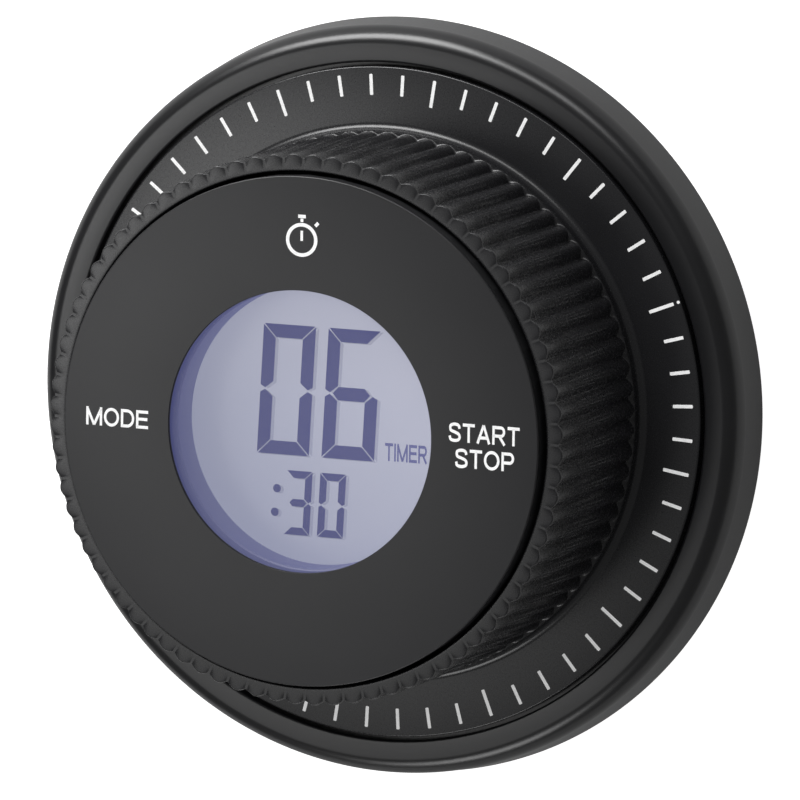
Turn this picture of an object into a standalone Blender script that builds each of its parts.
"""Kitchen timer with a rotary setting dial, built as an assembly of separate pieces.

Metres, +Z up. The timer lies on its back: the back cover rests on z = 0, the display looks
along +Z, the words on the face read along +X, and the dial turns about the Z axis.
"""
import math

import bmesh
import bpy
from mathutils import Matrix, Vector

MM = 0.001

# --- Driving dimensions, in millimetres -------------------------------------------------

# clearances
FIT = 0.3                   # gap between pieces that sit against each other
RUN = 0.4                   # gap between pieces that turn past each other
ROCK_ROOM = 0.35            # gap that lets the face tilt over a fixed piece
OVERLAP = 0.4               # how far two joined shapes run into each other
PAST = 1.0                  # how far a cutting shape runs past what it cuts
THREAD_ROOM = 0.25          # screw shank to the hole that it passes through

# housing
BEZEL_WIDTH = 4.22          # from the gap round the dial to the widest part of the wall
CASE_LIFT = 0.5             # rim of the housing above the surface
CASE_WALL = 1.6
CASE_EDGE = 0.3
SHOULDER_WIDTH = 1.9
SHOULDER_DROP = 2.4
WALL_DRAFT = 0.45           # the wall leans out by this much down to its back rim
SHELF_THICKNESS = 0.8
SHELF_ROOM = 0.6            # shelf to the dial's skirt
COVER_THICKNESS = 1.5
COVER_EDGE = 0.3
BOSS_RADIUS = 2.4
BOSS_INSET = 0.144          # chassis boss to the outside of the column
BOSS_TO_WALL = 0.35         # housing boss to the edge of the cover
PILOT_RADIUS = 0.85
HOUSING_SCREWS = 4

# dial and knob
TICK_RING_WIDTH = 6.73      # from the crests of the flutes to the edge of the dial
DIAL_THICKNESS = 1.2
DIAL_EDGE = 0.3
KNOB_GAP = 0.43             # knob bore to the fixed column
KNOB_WALL = 1.82
FACE_PROUD = 1.25           # face disc above the knob front
FLUTES = 80
FLUTE_DEPTH = 0.55
FLUTE_CHAMFER = 0.2
FLUTE_FRONT_SHARE = 0.72    # depth of the flutes at the front edge, as a share
FLUTE_TURN = math.radians(1.0)
FLUTE_STEPS = 3
BAND_HEIGHT = 1.5           # plain band between the tick ring and the flutes
BAND_PROUD = 0.1
BAND_FILLET = 0.8
SKIRT_INSET = 0.05          # skirt inside the crests of the flutes
SKIRT_DEPTH = 1.2

# dial gear and encoder pinion
RING_TEETH = 75
PINION_TEETH = 20
ADDENDUM = 0.8              # tooth tip and root, in modules
DEDENDUM = 1.1
ROOT_SHARE = 0.40           # half a tooth's width at its root and its tip, in pitches
TIP_SHARE = 0.15
GEAR_INSET = 0.475          # pitch circle of the ring inside the skirt
GEAR_THICKNESS = 1.6
GEAR_FLOOR_GAP = 0.6        # ring to the inside of the back cover
RING_RIM = 1.85
TOOTH_BACKLASH = 0.12
PINION_ROOM = 0.775         # pinion teeth to the bay wall
PINION_SHAFT_RADIUS = 1.5
SHAFT_DEPTH = 1.2           # how far the shaft reaches into the encoder
ENCODER_RADIUS = 4.5
ENCODER_HEIGHT = 4.5
ENCODER_LIFT = 0.7          # encoder above the skirt's lower edge
ENCODER_ROOM = 0.275        # encoder to the column wall
ENCODER_BOARD_WIDTH = 12.0
ENCODER_BOARD_THICKNESS = 1.0
ENCODER_BOARD_NEAR = 1.45   # board edges to the bay wall and to the column wall
ENCODER_BOARD_FAR = 1.2
LEDGE_WIDTH = 2.0           # ledges on the column that carry the encoder board
LEDGE_BITE = 0.6
LEDGE_THICKNESS = 1.0
RIBBON_WIDTH = 6.0
RIBBON_THICKNESS = 0.6
RIBBON_INSET = 4.85         # ribbon to the bay wall
RIBBON_SLOT = 0.7           # slot in the deck past the ribbon, front and back

# chassis
COLUMN_WALL = 1.0
COLUMN_DROP = 0.8           # top of the column below the face carrier
DECK_THICKNESS = 0.8
BAY_WALL = 0.8
BOARD_POST_RADIUS = 2.2
BOARD_POST_INSET = 3.4      # centre of a board post to the edge of the board
BOARD_POSTS = 3
BOSS_OVERRUN = 2.85         # chassis boss past the end of its screw
LEAD_HOLE_ROOM = 0.5

# main board and display
BOARD_MARGIN = 0.5          # edge of the board to the column wall
BOARD_THICKNESS = 1.2
BOARD_STANDOFF = 3.4        # board above the deck
CHIP_SIZE = (7.0, 7.0, 1.2)
CHIP_CORNER = (4.5, 1.5)
WINDOW_RADIUS = 14.65
LCD_MARGIN = 0.75           # glass past the window, each side
LCD_LEDGE = 4.2             # how much deeper than wide the glass is
LCD_THICKNESS = 1.8
GUIDE_MARGIN = (0.8, 8.0)   # how much smaller than the glass the light guide is
GUIDE_THICKNESS = 2.0
ZEBRA_MARGIN = 2.8
ZEBRA_WIDTH = 2.0
ZEBRA_HEIGHT = 2.5
ZEBRA_INSET = 0.4
LED_SIZE = (3.0, 1.4)
LED_X = 7.0
LED_GAPS = (0.15, 0.2)      # board to LED, LED to light guide
FRAME_PLATE = 0.6
FRAME_WALL = 1.35
FRAME_DROP = 1.9            # display below the lowest place that clears the face
FRAME_LIP = 1.5             # frame past the glass at the legs
FRAME_LEG_HALF = 8.0
COLLAR_STEP = 0.05

# face
FACE_GAP = 0.38             # face disc to the knob bore
FACE_FILM = 0.35
FILM_EDGE = 0.1
LENS_THICKNESS = 1.5
LENS_STEP = 0.05            # lens below the carrier's rim
CARRIER_FLOOR = 1.0
CARRIER_RIM = 0.9
CARRIER_ROOM = 0.6          # carrier bore to the display frame's collar
ROCKER_DROP = 1.0           # tilt axis below the top of the column
TRUNNION_RADIUS = 0.6
ARM_HALF = 1.5
ARM_THICKNESS = 1.1
ARM_DROP = 0.9
SWITCH_BODY = (6.0, 6.0, 3.3)
SWITCH_ROOM = 0.6           # switch to the display glass
STEM_RADIUS = 1.6
STEM_LENGTH = 1.8
STEM_PROUD = 1.0
SWITCH_TRAVEL = 0.25
PRESS_GAP = 0.45            # rest gap between a face post and its switch stem

# battery
CELL_RADIUS = 5.25
CELL_BODY = 43.7
CELL_NUB_RADIUS = 1.9
CELL_NUB = 0.8
CELL_FLOOR_GAP = 0.1
CELL_SHIFT = 0.65           # cell body off centre, towards its nub
CONTACT_ROOM = 1.8          # contact plate to the end of a centred cell
CONTACT_THICKNESS = 0.35
CONTACT_HALF = 2.0
CONTACT_HALF_HEIGHT = 3.2
CONTACT_CORNER_ROOM = 0.285
SPRING_WIRE = 0.25
SPRING_RADIUS = 2.1
SPRING_TURNS = 2.5
SPRING_TAPER = 0.35
SPRING_GAP = 0.2            # wire to the plate behind it and to the cell
DOOR_END = 0.7              # door past the contact plate
DOOR_SIDE = 0.05            # door past the battery bay
DOOR_THICKNESS = 1.2
DOOR_RECESS = 0.1
KNUCKLE_REACH = 0.5
KNUCKLE_HALF = 7.6
DIMPLE_RADIUS = 9.0
DIMPLE_INSET = 5.0
DIMPLE_DEPTH = 0.5
LIP_HALF = 4.1
LIP_REACH = 0.9
WEB_STEP = 0.1              # bead's web and lip inside the bead's ends and the plate's faces
WEB_INSET = 0.15

# magnets and buzzer
MAGNET_RADIUS = 4.0
MAGNET_THICKNESS = 1.5
CUP_WALL = 0.7
CUP_ROOF = 0.4
CUP_ROOM_X = 1.1            # magnet cup to the buzzer
CUP_ROOM_Y = 0.6            # magnet cup to the door opening
BUZZER_RADIUS = 6.0
BUZZER_HEIGHT = 4.5
BUZZER_ROOM = 0.45          # buzzer to the bay wall
BUZZER_MOUTH = 1.2
SOUND_HOLE = 0.8
SOUND_CIRCLE = 2.8

# screws and leads
SCREW_HEAD_RADIUS = 1.75
SCREW_HEAD_HEIGHT = 0.8
SCREW_RADIUS = 0.65
SCREW_TIP_GAP = 0.35        # screw tip to the dial above it
SCREW_RECESS = 0.15
SEAT_ROOM = 0.25            # screw seat to the door opening
SEAT_DEPTH_ROOM = 0.05
LEAD_RADIUS = 0.4
BUZZER_LEAD = (2.5, 1.2)
BATTERY_LEAD_INSET = 0.75   # battery lead to its contact plate

# --- Sizes worked out from the driving dimensions ---------------------------------------

# battery bay
CELL_PITCH = 2 * CELL_RADIUS + FIT
CONTACT_X = CELL_BODY / 2 + CONTACT_ROOM
BAY_HALF = CELL_PITCH / 2 + CELL_RADIUS + FIT
BAY_SIDE = BAY_HALF + BAY_WALL
DOOR_HALF_X = CONTACT_X + CONTACT_THICKNESS + DOOR_END
DOOR_HALF_Y = BAY_HALF + DOOR_SIDE
KNUCKLE_RADIUS = DOOR_THICKNESS / 2
KNUCKLE_X = -DOOR_HALF_X - KNUCKLE_REACH

# pieces round the battery bay
CUP_RADIUS = MAGNET_RADIUS + CUP_WALL
BUZZER_Y = BAY_SIDE + BUZZER_ROOM + BUZZER_RADIUS
MAGNET_X = BUZZER_RADIUS + CUP_ROOM_X + CUP_RADIUS
MAGNET_Y = DOOR_HALF_Y + FIT + CUP_ROOM_Y + CUP_RADIUS
RIBBON_Y = -BAY_SIDE - RIBBON_INSET

# display
LCD_WIDE = 2 * (WINDOW_RADIUS + LCD_MARGIN)
LCD_DEEP = LCD_WIDE + LCD_LEDGE
CARRIER_BORE = WINDOW_RADIUS + FRAME_WALL + CARRIER_ROOM
SWITCH_X = LCD_WIDE / 2 + SWITCH_ROOM + SWITCH_BODY[0] / 2

# the column's bore is as wide as the widest of the things inside it
PINION_SHARE = (RING_TEETH - PINION_TEETH) / RING_TEETH
COLUMN_TO_PITCH = COLUMN_WALL + KNOB_GAP + KNOB_WALL - SKIRT_INSET - GEAR_INSET
PINION_REACH = (RING_TEETH - PINION_TEETH) / 2 - PINION_TEETH / 2 - ADDENDUM
COLUMN_BORE = max(
    math.hypot(CONTACT_X + CONTACT_THICKNESS, CELL_PITCH / 2 + CONTACT_HALF) + CONTACT_CORNER_ROOM,
    (BAY_SIDE + PINION_ROOM) / PINION_REACH * RING_TEETH / 2 - COLUMN_TO_PITCH,
    (ENCODER_RADIUS + ENCODER_ROOM + COLUMN_TO_PITCH * PINION_SHARE) / (1 - PINION_SHARE),
    math.hypot(LCD_WIDE / 2, LCD_DEEP / 2 + FRAME_LIP) + FIT,
    SWITCH_X + SWITCH_BODY[0] / 2 + BOARD_MARGIN + FIT,
    math.hypot(MAGNET_X, MAGNET_Y) + CUP_RADIUS + FIT,
    BUZZER_Y + BUZZER_RADIUS + FIT)

# radii outward from the column
COLUMN_RADIUS = COLUMN_BORE + COLUMN_WALL
BOARD_RADIUS = COLUMN_BORE - BOARD_MARGIN
BOARD_POST_CIRCLE = BOARD_RADIUS - BOARD_POST_INSET
KNOB_BORE = COLUMN_RADIUS + KNOB_GAP
FACE_RADIUS = KNOB_BORE - FACE_GAP
FLUTE_CREST = KNOB_BORE + KNOB_WALL
SKIRT_RADIUS = FLUTE_CREST - SKIRT_INSET
SHELF_BORE = SKIRT_RADIUS + SHELF_ROOM
RING_PITCH_RADIUS = SKIRT_RADIUS - GEAR_INSET
GEAR_MODULE = 2 * RING_PITCH_RADIUS / RING_TEETH
PINION_CENTRE = GEAR_MODULE * (RING_TEETH - PINION_TEETH) / 2
RING_RIM_RADIUS = RING_PITCH_RADIUS + DEDENDUM * GEAR_MODULE + RING_RIM
DIAL_RADIUS = FLUTE_CREST + TICK_RING_WIDTH
BEZEL_BORE = DIAL_RADIUS + RUN
CASE_RADIUS = BEZEL_BORE + BEZEL_WIDTH
COVER_RADIUS = CASE_RADIUS - WALL_DRAFT - CASE_WALL - FIT
HOUSING_SCREW_CIRCLE = COVER_RADIUS - BOSS_RADIUS - BOSS_TO_WALL
CHASSIS_SCREW_Y = DOOR_HALF_Y + FIT + SEAT_ROOM + SCREW_HEAD_RADIUS + FIT
CHASSIS_SCREW_X = math.sqrt((COLUMN_RADIUS - BOSS_RADIUS - BOSS_INSET) ** 2 - CHASSIS_SCREW_Y ** 2)

# heights up from the back cover
INNER_FLOOR = COVER_THICKNESS + FIT
RING_BOTTOM = INNER_FLOOR + GEAR_FLOOR_GAP
RING_TOP = RING_BOTTOM + GEAR_THICKNESS
SKIRT_BOTTOM = RING_TOP + FIT
PLATE_BOTTOM = SKIRT_BOTTOM + SKIRT_DEPTH
DIAL_PLANE = PLATE_BOTTOM + DIAL_THICKNESS      # height of the tick ring
SHELF_TOP = PLATE_BOTTOM - FIT
SHELF_BOTTOM = SHELF_TOP - SHELF_THICKNESS
SCREW_LENGTH = PLATE_BOTTOM - SCREW_TIP_GAP - SCREW_RECESS
CHASSIS_BOSS_TOP = SCREW_RECESS + SCREW_LENGTH + BOSS_OVERRUN
ENCODER_BOTTOM = SKIRT_BOTTOM + ENCODER_LIFT
CELL_HEIGHT = INNER_FLOOR + CELL_FLOOR_GAP + CELL_RADIUS
DECK_HEIGHT = CELL_HEIGHT + CELL_RADIUS + RUN
DECK_TOP = DECK_HEIGHT + DECK_THICKNESS
BOARD_HEIGHT = DECK_TOP + BOARD_STANDOFF
BOARD_TOP = BOARD_HEIGHT + BOARD_THICKNESS
SWITCH_TOP = BOARD_TOP + FIT + SWITCH_BODY[2]
STEM_TOP = SWITCH_TOP + STEM_PROUD
LCD_TOP = BOARD_TOP + FIT + ZEBRA_HEIGHT + FIT + LCD_THICKNESS
FRAME_BOTTOM = LCD_TOP + FIT
CARRIER_BOTTOM = FRAME_BOTTOM + FRAME_PLATE + FIT + FRAME_DROP
CARRIER_TOP = CARRIER_BOTTOM + CARRIER_FLOOR
LENS_BOTTOM = CARRIER_TOP + FIT / 2
LENS_TOP = LENS_BOTTOM + LENS_THICKNESS
FILM_BOTTOM = LENS_TOP + FIT / 2
FACE_TOP = FILM_BOTTOM + FACE_FILM
KNOB_FRONT = FACE_TOP - FACE_PROUD
COLLAR_TOP = LENS_BOTTOM - ROCK_ROOM
COLUMN_TOP = CARRIER_BOTTOM - COLUMN_DROP
ROCKER_HEIGHT = COLUMN_TOP - ROCKER_DROP

PARTS = "kitchen_timer"
CUTTERS = "kitchen_timer_cutters"


# --- Scene helpers ----------------------------------------------------------------------

def clear_scene():
    for obj in list(bpy.data.objects):
        bpy.data.objects.remove(obj, do_unlink=True)


def collection(name):
    if name not in bpy.data.collections:
        made = bpy.data.collections.new(name)
        bpy.context.scene.collection.children.link(made)
    return bpy.data.collections[name]


def material(name, colour, roughness, metallic=0.0):
    made = bpy.data.materials.new(name)
    made.use_nodes = True
    shader = made.node_tree.nodes["Principled BSDF"]
    shader.inputs["Base Color"].default_value = (*colour, 1.0)
    shader.inputs["Roughness"].default_value = roughness
    shader.inputs["Metallic"].default_value = metallic
    return made


def place(obj, at=(0, 0, 0), turn=(0, 0, 0)):
    obj.location = Vector(at) * MM
    obj.rotation_euler = turn
    return obj


def add_object(name, mesh, surface=None, cutter=False):
    obj = bpy.data.objects.new(name, mesh)
    collection(CUTTERS if cutter else PARTS).objects.link(obj)
    if surface is not None:
        mesh.materials.append(surface)
    if cutter:
        obj.hide_render = True
        obj.display_type = "WIRE"
    return obj


def smooth(mesh, angle=30):
    mesh.shade_smooth()
    mesh.set_sharp_from_angle(angle=math.radians(angle))


def new_mesh(name, build):
    """A mesh filled by build(bm), with its normals facing out."""
    mesh = bpy.data.meshes.new(name)
    bm = bmesh.new()
    build(bm)
    bmesh.ops.recalc_face_normals(bm, faces=bm.faces)
    bm.to_mesh(mesh)
    bm.free()
    return mesh


def add_block(bm, low, high):
    size = [(b - a) * MM for a, b in zip(low, high)]
    middle = [(a + b) / 2 * MM for a, b in zip(low, high)]
    move = Matrix.Translation(middle) @ Matrix.Diagonal((*size, 1.0))
    bmesh.ops.create_cube(bm, size=1.0, matrix=move)


def add_rod(bm, radius, start, end, segments=24):
    start = Vector(start) * MM
    end = Vector(end) * MM
    along = end - start
    turn = along.to_track_quat("Z", "Y").to_matrix().to_4x4()
    move = Matrix.Translation((start + end) / 2) @ turn
    bmesh.ops.create_cone(bm, cap_ends=True, segments=segments, radius1=radius * MM,
                          radius2=radius * MM, depth=along.length, matrix=move)


def blocks(name, boxes, surface=None, cutter=False):
    """One mesh of boxes, each given by its lowest and highest corner."""
    def build(bm):
        for low, high in boxes:
            add_block(bm, low, high)
    return add_object(name, new_mesh(name, build), surface, cutter)


def rods(name, spans, surface=None, cutter=False, segments=20):
    """One mesh of round rods, each given by (radius, start, end)."""
    def build(bm):
        for radius, start, end in spans:
            add_rod(bm, radius, start, end, segments)
    obj = add_object(name, new_mesh(name, build), surface, cutter)
    smooth(obj.data)
    return obj


def ball(name, radius, at):
    def build(bm):
        bmesh.ops.create_uvsphere(bm, u_segments=24, v_segments=16, radius=radius * MM)
    return place(add_object(name, new_mesh(name, build), cutter=True), at)


def turned(name, profile, surface=None, cutter=False, steps=64, closed=True):
    """A profile of (radius, height) points, outer side first from the top, turned about Z."""
    def build(bm):
        points = [bm.verts.new((r * MM, 0, z * MM)) for r, z in profile]
        for a, b in zip(points, points[1:]):
            bm.edges.new((a, b))
        if closed:
            bm.edges.new((points[-1], points[0]))
    obj = add_object(name, new_mesh(name, build), surface, cutter)
    screw = obj.modifiers.new("turn", "SCREW")
    screw.steps = steps
    screw.render_steps = steps
    screw.use_merge_vertices = True
    screw.merge_threshold = 0.00001
    screw.use_smooth_shade = True
    return obj


def combine(obj, other, operation):
    step = obj.modifiers.new(operation.lower(), "BOOLEAN")
    step.operation = operation
    step.object = other
    step.solver = "EXACT"
    return obj


def cut(obj, cutter):
    return combine(obj, cutter, "DIFFERENCE")


def join(obj, addition):
    return combine(obj, addition, "UNION")


def outline(name, points, low, high, surface=None, cutter=False):
    """A closed flat outline of (x, y) points, as a solid between two heights."""
    curve = bpy.data.curves.new(name, "CURVE")
    curve.dimensions = "2D"
    curve.fill_mode = "BOTH"
    curve.extrude = (high - low) / 2 * MM
    spline = curve.splines.new("POLY")
    spline.points.add(len(points) - 1)
    for slot, (x, y) in zip(spline.points, points):
        slot.co = (x * MM, y * MM, 0, 1)
    spline.use_cyclic_u = True
    flat = bpy.data.objects.new(name, curve)
    collection(CUTTERS).objects.link(flat)
    flat.location.z = (low + high) / 2 * MM
    return as_mesh(flat, name, surface, cutter)


def as_mesh(curve_object, name, surface=None, cutter=False):
    """A curve object made into a closed mesh object at the same place."""
    bpy.context.view_layer.update()
    graph = bpy.context.evaluated_depsgraph_get()
    mesh = bpy.data.meshes.new_from_object(curve_object.evaluated_get(graph))
    place_matrix = curve_object.matrix_world.copy()
    bpy.data.objects.remove(curve_object, do_unlink=True)
    bm = bmesh.new()
    bm.from_mesh(mesh)
    bmesh.ops.remove_doubles(bm, verts=bm.verts, dist=0.000001)
    bmesh.ops.recalc_face_normals(bm, faces=bm.faces)
    bm.to_mesh(mesh)
    bm.free()
    mesh.materials.clear()
    obj = add_object(name, mesh, surface, cutter)
    obj.matrix_world = place_matrix
    return obj


def wire(name, route, radius, surface):
    """A round wire along a list of points, with closed ends."""
    curve = bpy.data.curves.new(name, "CURVE")
    curve.dimensions = "3D"
    curve.bevel_depth = radius * MM
    curve.bevel_resolution = 1
    curve.use_fill_caps = True
    spline = curve.splines.new("POLY")
    spline.points.add(len(route) - 1)
    for slot, point in zip(spline.points, route):
        slot.co = (*(Vector(point) * MM), 1)
    obj = bpy.data.objects.new(name, curve)
    collection(CUTTERS).objects.link(obj)
    return as_mesh(obj, name, surface)


def ring_points(count, radius, first=0.0):
    return [(radius * math.cos(math.radians(first + 360 * i / count)),
             radius * math.sin(math.radians(first + 360 * i / count))) for i in range(count)]


def four_ways(x, y):
    return [(sx * x, sy * y) for sx in (1, -1) for sy in (1, -1)]


def gear_outline(teeth, pitch_radius, inward, turn=0.0):
    """Tooth flanks as straight sides, with the tips towards the mating gear."""
    reach = -1 if inward else 1
    tip = pitch_radius + reach * ADDENDUM * GEAR_MODULE
    root = pitch_radius - reach * DEDENDUM * GEAR_MODULE
    pitch = 2 * math.pi / teeth
    slack = TOOTH_BACKLASH / pitch_radius
    half_root = pitch * ROOT_SHARE - slack / 2
    half_tip = pitch * TIP_SHARE - slack / 2
    points = []
    for i in range(teeth):
        middle = turn + i * pitch
        for radius, shift in ((root, -half_root), (tip, -half_tip),
                              (tip, half_tip), (root, half_root)):
            angle = middle + shift
            points.append((radius * math.cos(angle), radius * math.sin(angle)))
    return points


# --- Positions that several pieces share ------------------------------------------------

def housing_screw_places():
    return ring_points(HOUSING_SCREWS, HOUSING_SCREW_CIRCLE, 45)


def chassis_screw_places():
    return four_ways(CHASSIS_SCREW_X, CHASSIS_SCREW_Y)


def board_screw_places():
    return ring_points(BOARD_POSTS, BOARD_POST_CIRCLE, 90)


def magnet_places():
    return four_ways(MAGNET_X, MAGNET_Y)


def lead_places():
    """Where each pair of leads goes up through the deck."""
    battery_x = CONTACT_X - BATTERY_LEAD_INSET
    apart, back = BUZZER_LEAD
    battery = [(battery_x, CELL_PITCH / 2), (battery_x, -CELL_PITCH / 2)]
    buzzer = [(apart, BUZZER_Y - back), (-apart, BUZZER_Y - back)]
    return battery, buzzer


def uprights(radius, places, low, high):
    """Rods of one radius standing at several places."""
    return [(radius, (x, y, low), (x, y, high)) for x, y in places]


def inside_column(aside):
    """How far out a rib this far off the axis may reach without leaving the column's wall."""
    return math.sqrt((COLUMN_RADIUS - COLUMN_WALL / 5) ** 2 - aside ** 2)


def both_ends(near, far, half_width, low, high):
    """A block at the +Y end and its twin at the -Y end."""
    return [((-half_width, near, low), (half_width, far, high)),
            ((-half_width, -far, low), (half_width, -near, high))]


# --- Housing, cover and door ------------------------------------------------------------

def make_housing(surface):
    wall_bore = COVER_RADIUS + FIT
    top_radius = CASE_RADIUS - WALL_DRAFT
    profile = [(BEZEL_BORE, DIAL_PLANE - CASE_EDGE), (BEZEL_BORE + CASE_EDGE, DIAL_PLANE)]
    for i in range(6):
        angle = math.radians(90 * i / 5)
        profile.append((top_radius - SHOULDER_WIDTH * (1 - math.sin(angle)),
                        DIAL_PLANE - SHOULDER_DROP * (1 - math.cos(angle))))
    profile += [(CASE_RADIUS, CASE_LIFT + CASE_EDGE), (CASE_RADIUS - CASE_EDGE, CASE_LIFT),
                (wall_bore, CASE_LIFT), (wall_bore, SHELF_BOTTOM),
                (SHELF_BORE, SHELF_BOTTOM), (SHELF_BORE, SHELF_TOP), (BEZEL_BORE, SHELF_TOP)]
    housing = turned("outer_housing", profile, surface, steps=60)
    places = housing_screw_places()
    bosses = uprights(BOSS_RADIUS, places, INNER_FLOOR, SHELF_TOP - OVERLAP)
    join(housing, rods("housing_bosses", bosses, cutter=True))
    pilots = uprights(PILOT_RADIUS, places, 0, PLATE_BOTTOM + OVERLAP)
    cut(housing, rods("housing_pilots", pilots, cutter=True))
    return housing


def make_cover(surface):
    profile = [(0, COVER_THICKNESS), (COVER_RADIUS, COVER_THICKNESS),
               (COVER_RADIUS, COVER_EDGE), (COVER_RADIUS - COVER_EDGE, 0), (0, 0)]
    cover = turned("back_cover", profile, surface, closed=False)
    pocket_top = DOOR_RECESS + MAGNET_THICKNESS + FIT / 2
    cups = uprights(CUP_RADIUS, magnet_places(), OVERLAP, pocket_top + CUP_ROOF)
    join(cover, rods("magnet_cups", cups, cutter=True))
    screws = housing_screw_places() + chassis_screw_places()
    seat_top = SCREW_RECESS + SCREW_HEAD_HEIGHT + SEAT_DEPTH_ROOM
    recesses = uprights(MAGNET_RADIUS + FIT / 2, magnet_places(), -PAST, pocket_top)
    recesses += uprights(SCREW_HEAD_RADIUS + FIT, screws, -PAST, seat_top)
    cut(cover, rods("cover_recesses", recesses, cutter=True, segments=18))
    throughs = uprights(SCREW_RADIUS + THREAD_ROOM, screws, OVERLAP, COVER_THICKNESS + PAST)
    cut(cover, rods("screw_holes", throughs, cutter=True, segments=10))
    holes = [(x, BUZZER_Y + y) for x, y in [(0, 0)] + ring_points(6, SOUND_CIRCLE, 20)]
    sound = uprights(SOUND_HOLE, holes, -PAST, COVER_THICKNESS + PAST)
    cut(cover, rods("sound_holes", sound, cutter=True, segments=10))
    side = DOOR_HALF_Y + FIT
    opening_x = DOOR_HALF_X + FIT
    high = COVER_THICKNESS + PAST
    cut(cover, blocks("door_opening", [((-opening_x, -side, -PAST), (opening_x, side, high))],
                      cutter=True))
    hinge_edge = KNUCKLE_X - KNUCKLE_RADIUS - RUN
    lip_edge = DOOR_HALF_X + LIP_REACH + RUN
    lip_side = LIP_HALF + RUN
    notches = [((hinge_edge, -side, -PAST), (-DOOR_HALF_X, side, high)),
               ((DOOR_HALF_X, -lip_side, -PAST), (lip_edge, lip_side, high))]
    cut(cover, blocks("door_notches", notches, cutter=True))
    return cover


def make_door(surface):
    """The plate, its hinge bead along Y at the -X end, and its finger lip at the +X end."""
    low = DOOR_RECESS
    high = DOOR_RECESS + DOOR_THICKNESS
    middle = (low + high) / 2
    corners = ((-DOOR_HALF_X, -DOOR_HALF_Y, low), (DOOR_HALF_X, DOOR_HALF_Y, high))
    plate = blocks("battery_door", [corners], surface)
    ends = (KNUCKLE_X, -KNUCKLE_HALF, middle), (KNUCKLE_X, KNUCKLE_HALF, middle)
    bead = rods("door_bead", [(KNUCKLE_RADIUS, *ends)], cutter=True, segments=16)
    web_half = KNUCKLE_HALF - WEB_STEP
    web_up = KNUCKLE_RADIUS - WEB_INSET
    web = blocks("door_web", [((KNUCKLE_X, -web_half, middle - web_up),
                               (-DOOR_HALF_X + PAST, web_half, middle + web_up)),
                              ((DOOR_HALF_X - PAST, -LIP_HALF, low + WEB_STEP),
                               (DOOR_HALF_X + LIP_REACH, LIP_HALF, high - 2 * WEB_STEP))],
                 cutter=True)
    join(plate, web)
    join(plate, bead)
    dimple_at = (DOOR_HALF_X - DIMPLE_INSET, 0, low + DIMPLE_DEPTH - DIMPLE_RADIUS)
    cut(plate, ball("door_dimple", DIMPLE_RADIUS, dimple_at))
    return plate


# --- Dial and knob ----------------------------------------------------------------------

def flute_radius(angle, crest, depth):
    """A convex lobe between two sharp valleys."""
    phase = (angle * FLUTES / (2 * math.pi)) % 1.0
    return crest - depth * (1 - math.sin(math.pi * phase))


def make_fluted_sleeve():
    """The knob's fluted side as a stack of outlines, narrower at the front edge."""
    count = FLUTES * FLUTE_STEPS
    levels = [(DIAL_PLANE + BAND_HEIGHT - OVERLAP, FLUTE_CREST, FLUTE_DEPTH),
              (KNOB_FRONT - FLUTE_CHAMFER, FLUTE_CREST, FLUTE_DEPTH),
              (KNOB_FRONT, FLUTE_CREST - FLUTE_CHAMFER, FLUTE_DEPTH * FLUTE_FRONT_SHARE)]

    def build(bm):
        rows = []
        for height, crest, depth in levels:
            row = []
            for i in range(count):
                angle = 2 * math.pi * i / count
                radius = flute_radius(angle, crest, depth)
                angle += FLUTE_TURN
                x, y = radius * math.cos(angle), radius * math.sin(angle)
                row.append(bm.verts.new((x * MM, y * MM, height * MM)))
            rows.append(row)
        for lower, upper in zip(rows, rows[1:]):
            for i in range(count):
                j = (i + 1) % count
                bm.faces.new((lower[i], lower[j], upper[j], upper[i]))
        bm.faces.new(list(reversed(rows[0])))
        bm.faces.new(rows[-1])
    return add_object("fluted_sleeve", new_mesh("fluted_sleeve", build), cutter=True)


def make_dial(surface):
    """The tick ring, the plain band, the fluted knob and the skirt, moulded in one."""
    band = FLUTE_CREST + BAND_PROUD
    band_top = DIAL_PLANE + BAND_HEIGHT
    profile = [(0, band_top), (band, band_top)]
    for i in range(4):
        angle = math.radians(90 * i / 3)
        profile.append((band + BAND_FILLET * (1 - math.cos(angle)),
                        DIAL_PLANE + BAND_FILLET * (1 - math.sin(angle))))
    profile += [(DIAL_RADIUS - DIAL_EDGE, DIAL_PLANE), (DIAL_RADIUS, DIAL_PLANE - DIAL_EDGE),
                (DIAL_RADIUS, PLATE_BOTTOM), (SKIRT_RADIUS, PLATE_BOTTOM),
                (SKIRT_RADIUS, SKIRT_BOTTOM), (0, SKIRT_BOTTOM)]
    dial = turned("dial_knob", profile, surface, closed=False)
    join(dial, make_fluted_sleeve())
    bore = uprights(KNOB_BORE, [(0, 0)], 0, FACE_TOP + PAST)
    cut(dial, rods("knob_bore", bore, cutter=True, segments=80))
    return dial


def make_dial_gear(surface):
    rim = rods("dial_ring_gear", uprights(RING_RIM_RADIUS, [(0, 0)], RING_BOTTOM, RING_TOP),
               surface, segments=RING_TEETH)
    half_pitch = math.pi / RING_TEETH
    points = gear_outline(RING_TEETH, RING_PITCH_RADIUS, True, -math.pi / 2 + half_pitch)
    cut(rim, outline("dial_gear_bore", points, RING_BOTTOM - PAST, RING_TOP + PAST, cutter=True))
    return rim


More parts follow.
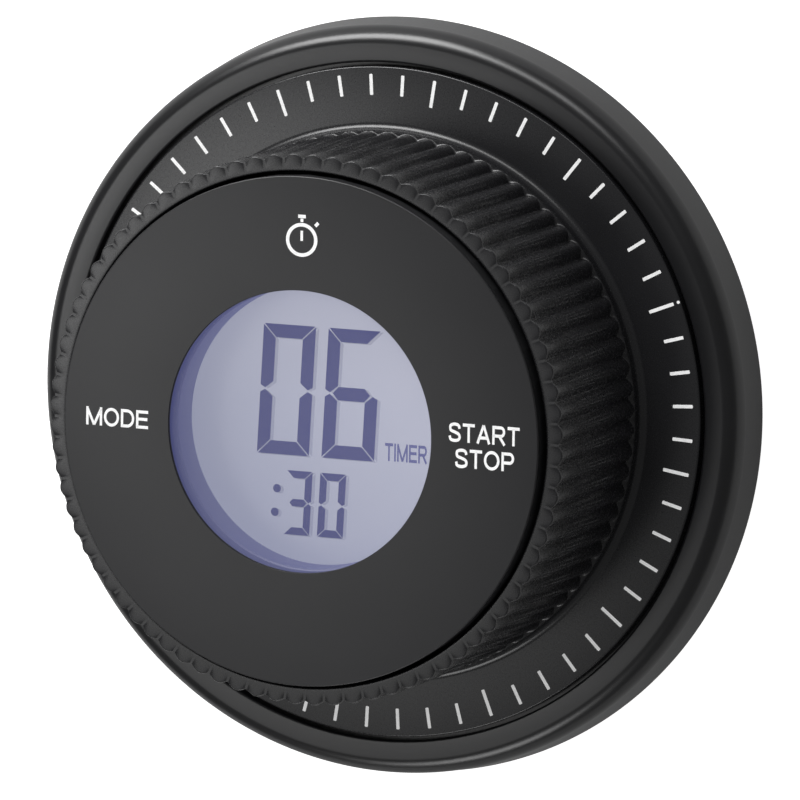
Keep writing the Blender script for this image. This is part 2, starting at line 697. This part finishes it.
def make_pinion(surface):
    """The encoder's gear and shaft, with its origin on its own axis and a tooth towards -Y."""
    pivot = bpy.data.objects.new("encoder_axis", None)
    collection(PARTS).objects.link(pivot)
    place(pivot, (0, -PINION_CENTRE, 0))
    points = gear_outline(PINION_TEETH, GEAR_MODULE * PINION_TEETH / 2, False, -math.pi / 2)
    gear = outline("encoder_gear", points, RING_BOTTOM, RING_TOP, surface)
    span = uprights(PINION_SHAFT_RADIUS, [(0, 0)], RING_BOTTOM + OVERLAP,
                    ENCODER_BOTTOM + SHAFT_DEPTH)
    shaft = rods("encoder_shaft", span, cutter=True)
    join(gear, shaft)
    gear.parent = pivot
    shaft.parent = pivot
    return gear


def make_encoder(body_surface, board_surface):
    bottom = ENCODER_BOTTOM
    top = bottom + ENCODER_HEIGHT
    place_at = [(0, -PINION_CENTRE)]
    body = rods("encoder_body", uprights(ENCODER_RADIUS, place_at, bottom, top),
                body_surface, segments=32)
    socket = uprights(PINION_SHAFT_RADIUS + FIT, place_at, bottom - PAST,
                      bottom + SHAFT_DEPTH + FIT)
    cut(body, rods("encoder_socket", socket, cutter=True))
    half = ENCODER_BOARD_WIDTH / 2
    far = -COLUMN_BORE + ENCODER_BOARD_FAR
    near = -BAY_SIDE - ENCODER_BOARD_NEAR
    low = top + FIT
    blocks("encoder_board", [((-half, far, low), (half, near, low + ENCODER_BOARD_THICKNESS))],
           board_surface)


# --- Chassis ----------------------------------------------------------------------------

def make_chassis(surface):
    """The fixed column inside the knob, with its deck, battery bay walls, bosses and posts."""
    profile = [(0, DECK_TOP), (COLUMN_BORE, DECK_TOP), (COLUMN_BORE, COLUMN_TOP),
               (COLUMN_RADIUS, COLUMN_TOP), (COLUMN_RADIUS, INNER_FLOOR),
               (COLUMN_BORE, INNER_FLOOR), (COLUMN_BORE, DECK_HEIGHT), (0, DECK_HEIGHT)]
    chassis = turned("inner_chassis", profile, surface, steps=48, closed=False)
    root = DECK_HEIGHT + OVERLAP
    walls = both_ends(BAY_HALF, BAY_SIDE, inside_column(BAY_SIDE), INNER_FLOOR, root)
    ledge_top = ENCODER_BOTTOM + ENCODER_HEIGHT
    ledge_in = -COLUMN_BORE + ENCODER_BOARD_FAR + LEDGE_BITE
    outer = ENCODER_BOARD_WIDTH / 2
    for left, right in ((-outer, LEDGE_WIDTH - outer), (outer - LEDGE_WIDTH, outer)):
        walls.append(((left, -inside_column(outer), ledge_top - LEDGE_THICKNESS),
                      (right, ledge_in, ledge_top)))
    join(chassis, blocks("bay_walls", walls, cutter=True))
    pad_face = CONTACT_X + CONTACT_THICKNESS + FIT
    pad_half = CELL_PITCH / 2 + CONTACT_HALF
    for name, half in (("wide_pads", pad_half), ("deep_pads", pad_half / 2)):
        back = inside_column(half)
        pads = [((pad_face, -half, INNER_FLOOR + OVERLAP / 2), (back, half, root)),
                ((-back, -half, INNER_FLOOR + OVERLAP / 2), (-pad_face, half, root))]
        join(chassis, blocks(name, pads, cutter=True))
    screws, boards = chassis_screw_places(), board_screw_places()
    bosses = uprights(BOSS_RADIUS, screws, INNER_FLOOR + 0.001, CHASSIS_BOSS_TOP)
    join(chassis, rods("chassis_bosses", bosses, cutter=True))
    posts = uprights(BOARD_POST_RADIUS, boards, DECK_TOP - OVERLAP, BOARD_HEIGHT - FIT)
    join(chassis, rods("board_posts", posts, cutter=True))
    battery, buzzer = lead_places()
    holes = uprights(PILOT_RADIUS, screws, 0, CHASSIS_BOSS_TOP - PAST)
    board_screw_tip = BOARD_TOP + FIT + SCREW_HEAD_HEIGHT - SCREW_LENGTH
    holes += uprights(PILOT_RADIUS, boards, board_screw_tip - FIT, BOARD_TOP)
    holes += uprights(LEAD_RADIUS + LEAD_HOLE_ROOM, battery + buzzer, DECK_HEIGHT - PAST,
                      DECK_TOP + PAST)
    cut(chassis, rods("chassis_holes", holes, cutter=True, segments=12))
    tip = GEAR_MODULE * (PINION_TEETH / 2 + ADDENDUM) + PAST
    slot_half = RIBBON_WIDTH / 2 + PAST
    slot_reach = RIBBON_THICKNESS / 2 + RIBBON_SLOT
    openings = [((-tip, -COLUMN_RADIUS - PAST, -PAST), (tip, -PINION_CENTRE + PAST, SKIRT_BOTTOM)),
                ((-slot_half, RIBBON_Y - slot_reach, DECK_HEIGHT - PAST),
                 (slot_half, RIBBON_Y + slot_reach, DECK_TOP + PAST))]
    pin_room = TRUNNION_RADIUS + FIT
    openings += both_ends(COLUMN_BORE - PAST, COLUMN_RADIUS + PAST, pin_room,
                          ROCKER_HEIGHT - pin_room, COLUMN_TOP + PAST)
    cut(chassis, blocks("chassis_openings", openings, cutter=True))
    return chassis


# --- Boards, display and switches -------------------------------------------------------

def make_boards(board_surface, chip_surface):
    board = rods("main_board", uprights(BOARD_RADIUS, [(0, 0)], BOARD_HEIGHT, BOARD_TOP),
                 board_surface, segments=64)
    holes = uprights(SCREW_RADIUS + THREAD_ROOM, board_screw_places(), BOARD_HEIGHT - PAST,
                     BOARD_TOP + PAST)
    cut(board, rods("board_holes", holes, cutter=True, segments=12))
    wide, deep, thick = CHIP_SIZE
    x, y = CHIP_CORNER
    high = BOARD_HEIGHT - FIT
    blocks("controller_chip", [((x, y, high - thick), (x + wide, y + deep, high))], chip_surface)


def make_display(glass, frame_surface, guide_surface, zebra_surface, led_surface):
    half_x, half_y = LCD_WIDE / 2, LCD_DEEP / 2
    glass_low = LCD_TOP - LCD_THICKNESS
    blocks("lcd_glass", [((-half_x, -half_y, glass_low), (half_x, half_y, LCD_TOP))], glass)
    guide_x, guide_y = half_x - GUIDE_MARGIN[0] / 2, half_y - GUIDE_MARGIN[1] / 2
    guide_top = glass_low - FIT
    guide_low = guide_top - GUIDE_THICKNESS
    blocks("light_guide", [((-guide_x, -guide_y, guide_low), (guide_x, guide_y, guide_top))],
           guide_surface)
    strip_x = half_x - ZEBRA_MARGIN / 2
    strip_low = BOARD_TOP + FIT
    strip_far = half_y - ZEBRA_INSET
    strips = both_ends(strip_far - ZEBRA_WIDTH, strip_far, strip_x, strip_low,
                       strip_low + ZEBRA_HEIGHT)
    for name, corners in zip(("zebra_strip_upper", "zebra_strip_lower"), strips):
        blocks(name, [corners], zebra_surface)
    led_x, led_y = LED_SIZE[0] / 2, LED_SIZE[1] / 2
    for i, x in enumerate((-LED_X, LED_X)):
        blocks(f"backlight_led_{i + 1}", [((x - led_x, -led_y, BOARD_TOP + LED_GAPS[0]),
                                           (x + led_x, led_y, guide_low - LED_GAPS[1]))],
               led_surface)
    low = FRAME_BOTTOM
    edge = half_y + FRAME_LIP
    plate = blocks("lcd_frame", [((-half_x, -edge, low), (half_x, edge, low + FRAME_PLATE))],
                   frame_surface)
    legs = both_ends(half_y + FIT, edge, FRAME_LEG_HALF, BOARD_TOP + FIT, low + FRAME_PLATE / 2)
    join(plate, blocks("frame_legs", legs, cutter=True))
    collar = uprights(WINDOW_RADIUS + FRAME_WALL, [(0, 0)], low + COLLAR_STEP, COLLAR_TOP)
    join(plate, rods("frame_collar", collar, cutter=True, segments=48))
    window = uprights(WINDOW_RADIUS, [(0, 0)], low - PAST, COLLAR_TOP + PAST)
    cut(plate, rods("frame_window", window, cutter=True, segments=48))


def make_switches(body_surface, stem_surface):
    wide, deep, high = SWITCH_BODY
    low = BOARD_TOP + FIT
    well_low = STEM_TOP - STEM_LENGTH - SWITCH_TRAVEL - FIT
    for name, side in (("mode", -1), ("start", 1)):
        x = side * SWITCH_X
        corners = ((x - wide / 2, -deep / 2, low), (x + wide / 2, deep / 2, low + high))
        body = blocks(f"{name}_switch_body", [corners], body_surface)
        well = uprights(STEM_RADIUS + FIT, [(x, 0)], well_low, STEM_TOP)
        cut(body, rods(f"{name}_switch_well", well, cutter=True))
        stem = rods(f"{name}_switch_stem", uprights(STEM_RADIUS, [(0, 0)], -STEM_LENGTH, 0),
                    stem_surface)
        place(stem, (x, 0, STEM_TOP))


def make_face(carrier_surface, lens_surface, film_surface):
    """The rocker: carrier, clear lens and printed film, on trunnions along Y."""
    pivot = bpy.data.objects.new("face_axis", None)
    collection(PARTS).objects.link(pivot)
    place(pivot, (0, 0, ROCKER_HEIGHT))
    rim_bore = FACE_RADIUS - CARRIER_RIM
    profile = [(rim_bore, LENS_TOP), (FACE_RADIUS, LENS_TOP), (FACE_RADIUS, CARRIER_BOTTOM),
               (CARRIER_BORE, CARRIER_BOTTOM), (CARRIER_BORE, CARRIER_TOP),
               (rim_bore, CARRIER_TOP)]
    carrier = turned("face_carrier", profile, carrier_surface, steps=48)
    arm_out = COLUMN_BORE - BOARD_MARGIN
    root = CARRIER_BOTTOM + OVERLAP
    arms = both_ends(arm_out - ARM_THICKNESS, arm_out, ARM_HALF, ROCKER_HEIGHT - ARM_DROP, root)
    join(carrier, blocks("carrier_arms", arms, cutter=True))
    pin_in, pin_out = arm_out - ARM_THICKNESS / 2, COLUMN_RADIUS - FIT / 2
    pins = [(TRUNNION_RADIUS, (0, side * pin_in, ROCKER_HEIGHT),
             (0, side * pin_out, ROCKER_HEIGHT)) for side in (1, -1)]
    join(carrier, rods("carrier_trunnions", pins, cutter=True, segments=16))
    posts = uprights(STEM_RADIUS, [(SWITCH_X, 0), (-SWITCH_X, 0)], STEM_TOP + PRESS_GAP, root)
    join(carrier, rods("carrier_posts", posts, cutter=True, segments=16))
    pane = uprights(rim_bore - FIT, [(0, 0)], LENS_BOTTOM, LENS_TOP - LENS_STEP)
    lens = rods("face_lens", pane, lens_surface, segments=64)
    film = turned("face_film", [(FACE_RADIUS - FILM_EDGE, FACE_TOP),
                                (FACE_RADIUS, FACE_TOP - FILM_EDGE), (FACE_RADIUS, FILM_BOTTOM),
                                (WINDOW_RADIUS, FILM_BOTTOM), (WINDOW_RADIUS, FACE_TOP)],
                  film_surface)
    for piece in (carrier, lens, film):
        piece.parent = pivot
        piece.location = (0, 0, -ROCKER_HEIGHT * MM)


# --- Power, magnets and buzzer ----------------------------------------------------------

def make_cells(surface):
    for i, side in enumerate((1, -1)):
        y = side * CELL_PITCH / 2
        start = -side * (CELL_BODY / 2 - CELL_SHIFT)
        tip = start + side * CELL_BODY
        ends = (start, y, CELL_HEIGHT), (tip, y, CELL_HEIGHT)
        cell = rods(f"battery_cell_{i + 1}", [(CELL_RADIUS, *ends)], surface, segments=28)
        nub_ends = (tip - side * PAST, y, CELL_HEIGHT), (tip + side * CELL_NUB, y, CELL_HEIGHT)
        join(cell, rods(f"cell_nub_{i + 1}", [(CELL_NUB_RADIUS, *nub_ends)], cutter=True))


def make_contacts(surface):
    near = CONTACT_X
    far = CONTACT_X + CONTACT_THICKNESS
    low = CELL_HEIGHT - CONTACT_HALF_HEIGHT
    high = CELL_HEIGHT + CONTACT_HALF_HEIGHT
    reach = CELL_PITCH / 2 + CONTACT_HALF
    blocks("battery_link_contact", [((-far, -reach, low), (-near, reach, high))], surface)
    for name, side in (("positive", 1), ("negative", -1)):
        y = side * CELL_PITCH / 2
        blocks(f"battery_{name}_contact", [((near, y - CONTACT_HALF, low),
                                            (far, y + CONTACT_HALF, high))], surface)
    steps = 8
    plate_end = CONTACT_X - SPRING_WIRE - SPRING_GAP
    cell_end = CELL_BODY / 2 - CELL_SHIFT + SPRING_WIRE + SPRING_GAP
    for i, side in enumerate((1, -1)):
        route = []
        for k in range(int(SPRING_TURNS * steps) + 1):
            share = k / (SPRING_TURNS * steps)
            angle = 2 * math.pi * k / steps
            radius = SPRING_RADIUS * (1 - SPRING_TAPER * share)
            route.append((-side * (plate_end - (plate_end - cell_end) * share),
                          side * CELL_PITCH / 2 + radius * math.cos(angle),
                          CELL_HEIGHT + radius * math.sin(angle)))
        wire(f"battery_spring_{i + 1}", route, SPRING_WIRE, surface)


def make_leads(red, black):
    battery, buzzer = lead_places()
    top = BOARD_HEIGHT - FIT
    start = CELL_HEIGHT + CONTACT_HALF_HEIGHT + FIT + LEAD_RADIUS
    names = (("battery_lead_red", red), ("battery_lead_black", black))
    for (x, y), (name, surface) in zip(battery, names):
        route = [(CONTACT_X - 0.3, y, start), (CONTACT_X - 0.6, y, start + 1.0),
                 (x, y, start + 2.2), (x, y, DECK_TOP + 1), (x - 0.4, y, DECK_TOP + 2.5),
                 (x - 0.4, y, top)]
        wire(name, route, LEAD_RADIUS, surface)
    low = INNER_FLOOR + BUZZER_HEIGHT + FIT
    names = (("buzzer_lead_red", red), ("buzzer_lead_black", black))
    for (x, y), (name, surface) in zip(buzzer, names):
        route = [(x, y, low), (x, y, DECK_HEIGHT), (x, y, DECK_TOP + 2), (x, y, top)]
        wire(name, route, LEAD_RADIUS, surface)


def make_ribbon(surface):
    half, thick = RIBBON_WIDTH / 2, RIBBON_THICKNESS / 2
    low = ENCODER_BOTTOM + ENCODER_HEIGHT + FIT + ENCODER_BOARD_THICKNESS + FIT
    blocks("encoder_ribbon", [((-half, RIBBON_Y - thick, low),
                               (half, RIBBON_Y + thick, BOARD_HEIGHT - FIT))], surface)


def make_magnets(surface):
    for i, at in enumerate(magnet_places()):
        disc = uprights(MAGNET_RADIUS, [at], DOOR_RECESS, DOOR_RECESS + MAGNET_THICKNESS)
        rods(f"magnet_{i + 1}", disc, surface, segments=32)


def make_buzzer(surface):
    middle = [(0, BUZZER_Y)]
    can = uprights(BUZZER_RADIUS, middle, INNER_FLOOR, INNER_FLOOR + BUZZER_HEIGHT)
    buzzer = rods("buzzer", can, surface, segments=40)
    mouth = uprights(BUZZER_MOUTH, middle, 0, INNER_FLOOR + BUZZER_HEIGHT / 3)
    cut(buzzer, rods("buzzer_mouth", mouth, cutter=True))


# --- Screws -----------------------------------------------------------------------------

def screw_mesh(surface):
    """A pan-head screw, head down at the origin and shank along +Z."""
    middle = [(0, 0)]
    head = rods("screw_head", uprights(SCREW_HEAD_RADIUS, middle, 0, SCREW_HEAD_HEIGHT), surface,
                cutter=True, segments=14)
    shank = rods("screw_shank", uprights(SCREW_RADIUS, middle, SCREW_HEAD_HEIGHT / 2, SCREW_LENGTH),
                 cutter=True, segments=8)
    join(head, shank)
    bpy.context.view_layer.update()
    graph = bpy.context.evaluated_depsgraph_get()
    made = bpy.data.meshes.new_from_object(head.evaluated_get(graph))
    made.name = "screw"
    for used in (head, shank):
        bpy.data.objects.remove(used, do_unlink=True)
    return made


def make_screws(surface):
    mesh = screw_mesh(surface)
    groups = (("housing_screw", housing_screw_places(), SCREW_RECESS, 0.0),
              ("chassis_screw", chassis_screw_places(), SCREW_RECESS, 0.0),
              ("board_screw", board_screw_places(), BOARD_TOP + FIT + SCREW_HEAD_HEIGHT, math.pi))
    for name, places, height, flip in groups:
        for i, (x, y) in enumerate(places):
            screw = bpy.data.objects.new(f"{name}_{i + 1}", mesh)
            collection(PARTS).objects.link(screw)
            place(screw, (x, y, height), (flip, 0, 0))


# --- Assembly ---------------------------------------------------------------------------

def main():
    clear_scene()
    case_black = material("case_black", (0.030, 0.030, 0.033), 0.42)
    dial_black = material("dial_black", (0.026, 0.026, 0.028), 0.40)
    face_black = material("face_black", (0.042, 0.042, 0.044), 0.35)
    cover_black = material("cover_black", (0.020, 0.020, 0.022), 0.60)
    chassis_grey = material("chassis_grey", (0.10, 0.10, 0.11), 0.55)
    clear = material("clear_lens", (0.85, 0.87, 0.90), 0.05)
    display = material("display_glass", (0.38, 0.40, 0.56), 0.15)
    white = material("white_plastic", (0.75, 0.75, 0.80), 0.50)
    gear_white = material("gear_white", (0.80, 0.78, 0.72), 0.45)
    green = material("board_green", (0.02, 0.12, 0.05), 0.40)
    chip_black = material("chip_black", (0.015, 0.015, 0.015), 0.50)
    rubber_grey = material("strip_rubber", (0.20, 0.20, 0.22), 0.80)
    steel = material("plated_steel", (0.60, 0.60, 0.62), 0.30, 1.0)
    magnet_steel = material("magnet_nickel", (0.55, 0.55, 0.56), 0.25, 1.0)
    cell_blue = material("cell_jacket", (0.10, 0.14, 0.25), 0.35)
    led_white = material("led_white", (0.85, 0.85, 0.80), 0.30)
    red = material("lead_red", (0.45, 0.02, 0.02), 0.50)
    black = material("lead_black", (0.02, 0.02, 0.02), 0.50)
    grey = material("ribbon_grey", (0.30, 0.30, 0.32), 0.50)

    make_housing(case_black)
    make_cover(cover_black)
    make_door(cover_black)
    make_dial(dial_black)
    make_dial_gear(gear_white)
    make_pinion(gear_white)
    make_encoder(chip_black, green)
    make_chassis(chassis_grey)
    make_boards(green, chip_black)
    make_display(display, white, white, rubber_grey, led_white)
    make_switches(chip_black, gear_white)
    make_face(face_black, clear, face_black)
    make_cells(cell_blue)
    make_contacts(steel)
    make_leads(red, black)
    make_ribbon(grey)
    make_magnets(magnet_steel)
    make_buzzer(chip_black)
    make_screws(steel)


main()
